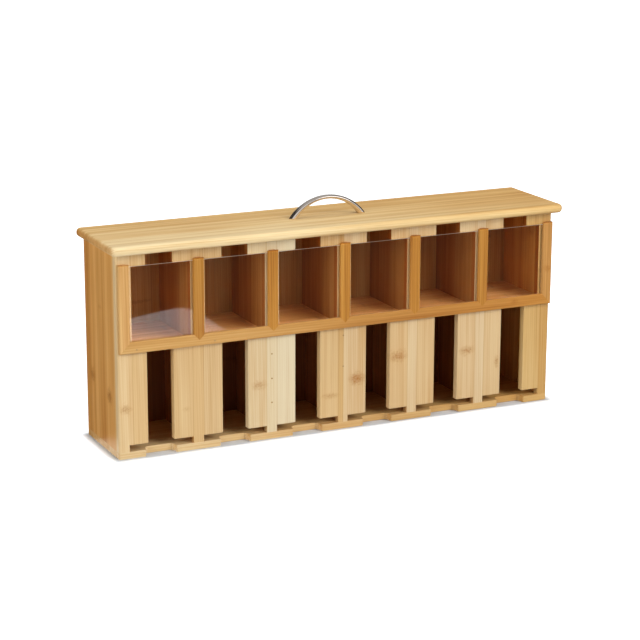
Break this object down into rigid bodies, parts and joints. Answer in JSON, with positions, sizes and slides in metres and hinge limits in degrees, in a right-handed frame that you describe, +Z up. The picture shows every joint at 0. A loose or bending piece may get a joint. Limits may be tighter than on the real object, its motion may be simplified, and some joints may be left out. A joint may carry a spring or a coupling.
{
  "type": "tea bag dispenser box",
  "caption": "Bamboo tea bag chest with clear lift-out windows over finger slots and flat bag slits, a hinged lid with rounded edges and a bow handle.",
  "frame": {"origin": "middle of the case's footprint on the underside of the base board", "axes": "+X along the box to the right as seen from the front, -Y out of the front, +Z up"},
  "size_m": [0.519, 0.1146, 0.2462],
  "materials": {
    "base_bamboo": "satin lacquered bamboo",
    "side_bamboo": "satin lacquered bamboo, caramel tone",
    "plank_bamboo": "satin lacquered bamboo, pale",
    "inner_bamboo": "plain bamboo, unpolished",
    "frame_bamboo": "satin lacquered bamboo, amber tone",
    "lid_bamboo": "satin lacquered bamboo",
    "pane_acrylic": "clear acrylic sheet",
    "handle_chrome": "polished",
    "hinge_brass": "satin",
    "screw_steel": "zinc plated",
    "brad_steel": "dull"
  },
  "bodies": {
    "case": {"base_board": "base_bamboo", "left_side_panel": "side_bamboo", "right_side_panel": "side_bamboo", "back_panel": "inner_bamboo", "front_plank_1": "plank_bamboo", "front_plank_2": "plank_bamboo", "front_plank_3": "plank_bamboo", "front_plank_4": "plank_bamboo", "front_plank_5": "plank_bamboo", "front_plank_6": "plank_bamboo", "front_plank_7": "plank_bamboo", "window_shelf": "inner_bamboo", "upper_divider_1": "inner_bamboo", "upper_divider_2": "inner_bamboo", "upper_divider_3": "inner_bamboo", "upper_divider_4": "inner_bamboo", "upper_divider_5": "inner_bamboo", "lower_divider_1": "inner_bamboo", "lower_divider_2": "inner_bamboo", "lower_divider_3": "inner_bamboo", "lower_divider_4": "inner_bamboo", "lower_divider_5": "inner_bamboo", "window_rail": "frame_bamboo", "window_stile_1": "frame_bamboo", "window_stile_2": "frame_bamboo", "window_stile_3": "frame_bamboo", "window_stile_4": "frame_bamboo", "window_stile_5": "frame_bamboo", "window_stile_6": "frame_bamboo", "window_stile_7": "frame_bamboo", "plank_brads": "brad_steel", "rail_brads": "brad_steel", "left_hinge_case_leaf": "hinge_brass", "right_hinge_case_leaf": "hinge_brass", "left_hinge_pin": "hinge_brass", "right_hinge_pin": "hinge_brass", "hinge_case_screws": "hinge_brass"},
    "lid": {"lid": "lid_bamboo", "handle": "handle_chrome", "handle_screws": "screw_steel", "left_hinge_lid_leaf": "hinge_brass", "right_hinge_lid_leaf": "hinge_brass", "hinge_lid_screws": "hinge_brass"},
    "pane_1": {"window_pane_1": "pane_acrylic"},
    "pane_2": {"window_pane_2": "pane_acrylic"},
    "pane_3": {"window_pane_3": "pane_acrylic"},
    "pane_4": {"window_pane_4": "pane_acrylic"},
    "pane_5": {"window_pane_5": "pane_acrylic"},
    "pane_6": {"window_pane_6": "pane_acrylic"}
  },
  "joints": [
    {"name": "lid_hinge", "type": "hinge", "parent": "case", "child": "lid", "pos_m": [0, 0.0492, 0.214], "axis": [-1, 0, 0], "range_deg": [0, 104]},
    {"name": "pane_1_slide", "type": "slide", "parent": "case", "child": "pane_1", "axis": [0, 0, 1], "range_m": [0, 0.012]},
    {"name": "pane_2_slide", "type": "slide", "parent": "case", "child": "pane_2", "axis": [0, 0, 1], "range_m": [0, 0.012]},
    {"name": "pane_3_slide", "type": "slide", "parent": "case", "child": "pane_3", "axis": [0, 0, 1], "range_m": [0, 0.012]},
    {"name": "pane_4_slide", "type": "slide", "parent": "case", "child": "pane_4", "axis": [0, 0, 1], "range_m": [0, 0.012]},
    {"name": "pane_5_slide", "type": "slide", "parent": "case", "child": "pane_5", "axis": [0, 0, 1], "range_m": [0, 0.012]},
    {"name": "pane_6_slide", "type": "slide", "parent": "case", "child": "pane_6", "axis": [0, 0, 1], "range_m": [0, 0.012]}
  ]
}
